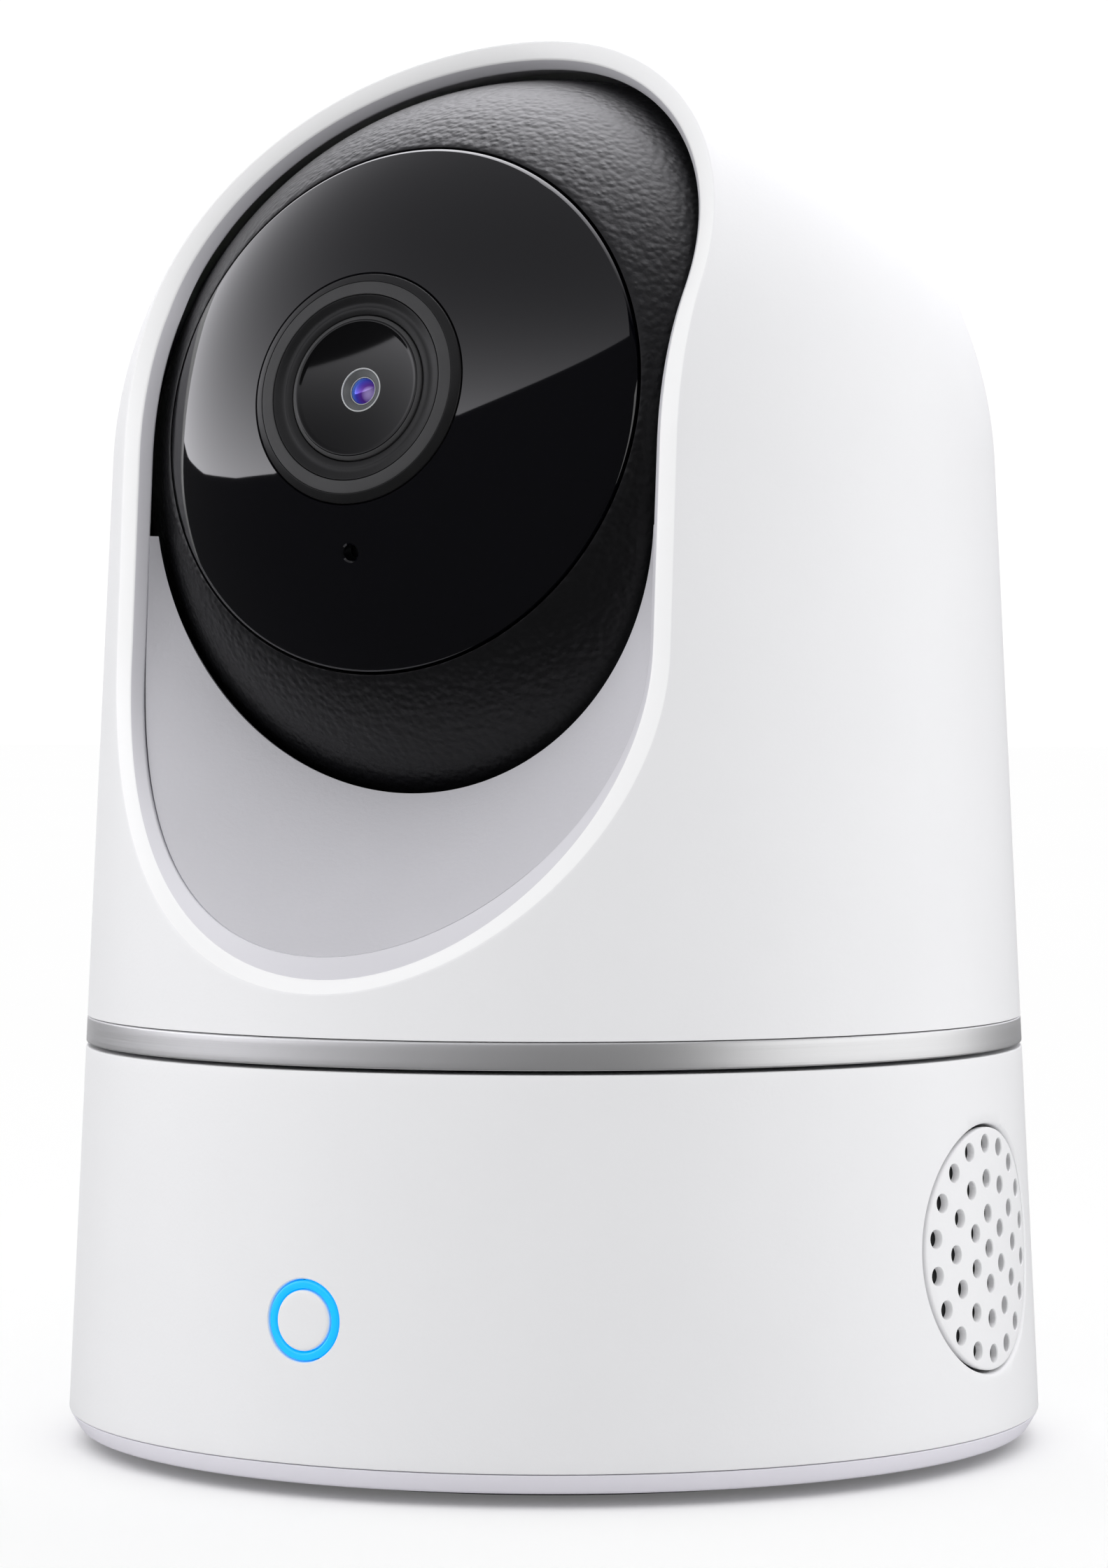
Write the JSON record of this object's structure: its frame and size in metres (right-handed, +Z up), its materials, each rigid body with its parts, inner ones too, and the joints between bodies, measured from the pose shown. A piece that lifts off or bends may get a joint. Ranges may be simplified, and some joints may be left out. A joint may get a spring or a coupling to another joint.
{
  "type": "indoor security camera",
  "caption": "Indoor security camera with a tapered round base, a turning domed head and a tilting ball with the lens, a lit button and a round speaker grille.",
  "frame": {"origin": "middle of the underside, on the surface that the foot rests on", "axes": "+Z up along the pan axis, -Y where the lens looks, +X the side with the speaker"},
  "size_m": [0.075, 0.075, 0.1076],
  "materials": {
    "white_plastic": "fine satin grain",
    "grey_plastic": "satin",
    "pale_grey_plastic": "satin",
    "brushed_silver": "brushed round the ring",
    "blue_light_guide": "lit blue",
    "textured_black_plastic": "leather grain",
    "satin_black": "satin",
    "gloss_black": "polished",
    "lens_glass": "coated",
    "dark_clear_plastic": "polished",
    "white_nylon": "moulded",
    "black_nylon": "moulded",
    "led_resin": "clear resin",
    "circuit_green": "solder resist",
    "steel": "plated",
    "rubber": "matt"
  },
  "bodies": {
    "base": {"base_shell": "white_plastic", "bottom_cover": "grey_plastic", "foot_ring": "rubber", "base_deck": "pale_grey_plastic", "pan_bearing": "white_nylon", "light_ring": "blue_light_guide", "button_switch": "black_nylon", "button_board": "circuit_green", "status_led": "led_resin", "speaker_grille": "white_plastic", "speaker_basket": "steel", "speaker_cone": "black_nylon", "speaker_magnet": "steel", "main_board": "circuit_green", "shield_can": "steel", "buffer_capacitor": "black_nylon", "usb_socket": "steel", "wifi_antenna": "circuit_green", "pan_motor": "steel", "cover_screw_1": "steel", "cover_screw_2": "steel", "cover_screw_3": "steel", "motor_screw_1": "steel", "motor_screw_2": "steel"},
    "button": {"button_cap": "white_plastic"},
    "pan_pinion": {"pan_pinion": "white_nylon"},
    "pan": {"turntable": "pale_grey_plastic", "trim_ring": "brushed_silver", "dome_shell": "white_plastic", "fascia": "pale_grey_plastic", "yoke_left": "pale_grey_plastic", "yoke_right": "pale_grey_plastic", "pivot_pin_left": "steel", "pivot_pin_right": "steel", "pan_gear": "white_nylon", "tilt_gear": "white_nylon", "dome_screw_1": "steel", "dome_screw_2": "steel", "dome_screw_3": "steel"},
    "tilt": {"head_front_shell": "textured_black_plastic", "head_rear_shell": "textured_black_plastic", "face_glass": "gloss_black", "lens_bezel": "satin_black", "lens_barrel": "satin_black", "lens_front_element": "lens_glass", "lens_iris": "satin_black", "lens_rear_element": "lens_glass", "image_sensor": "satin_black", "sensor_board": "circuit_green", "led_board": "circuit_green", "ir_led_1": "dark_clear_plastic", "ir_led_2": "dark_clear_plastic", "ir_led_3": "dark_clear_plastic", "ir_led_4": "dark_clear_plastic", "microphone": "steel", "tilt_motor": "steel", "pivot_bush_left": "black_nylon", "pivot_bush_right": "black_nylon"},
    "tilt_pinion": {"tilt_pinion": "white_nylon"}
  },
  "joints": [
    {"name": "pan", "type": "hinge", "parent": "base", "child": "pan", "pos_m": [0, 0, 0.0305], "axis": [0, 0, 1], "range_deg": [-175, 175]},
    {"name": "tilt", "type": "hinge", "parent": "pan", "child": "tilt", "pos_m": [0, 0, 0.0735], "axis": [-1, 0, 0], "range_deg": [-42, 54]},
    {"name": "button_press", "type": "slide", "parent": "base", "child": "button", "axis": [0, 0.9989, -0.0473], "range_m": [0, 0.0005], "stiffness_N_per_m": 1500},
    {"name": "pan_pinion_spin", "type": "hinge", "parent": "base", "child": "pan_pinion", "pos_m": [-0.01299, -0.0075, 0.024], "axis": [0, 0, 1], "range_deg": [-701, 701]},
    {"name": "tilt_pinion_spin", "type": "hinge", "parent": "tilt", "child": "tilt_pinion", "pos_m": [0.0275, 0.00982, 0.07159], "axis": [-1, 0, 0], "range_deg": [-99, 127]}
  ],
  "couplings": [
    {"joint": "pan_pinion_spin", "follows": "pan", "ratio": -4},
    {"joint": "tilt_pinion_spin", "follows": "tilt", "ratio": 2.3333}
  ]
}
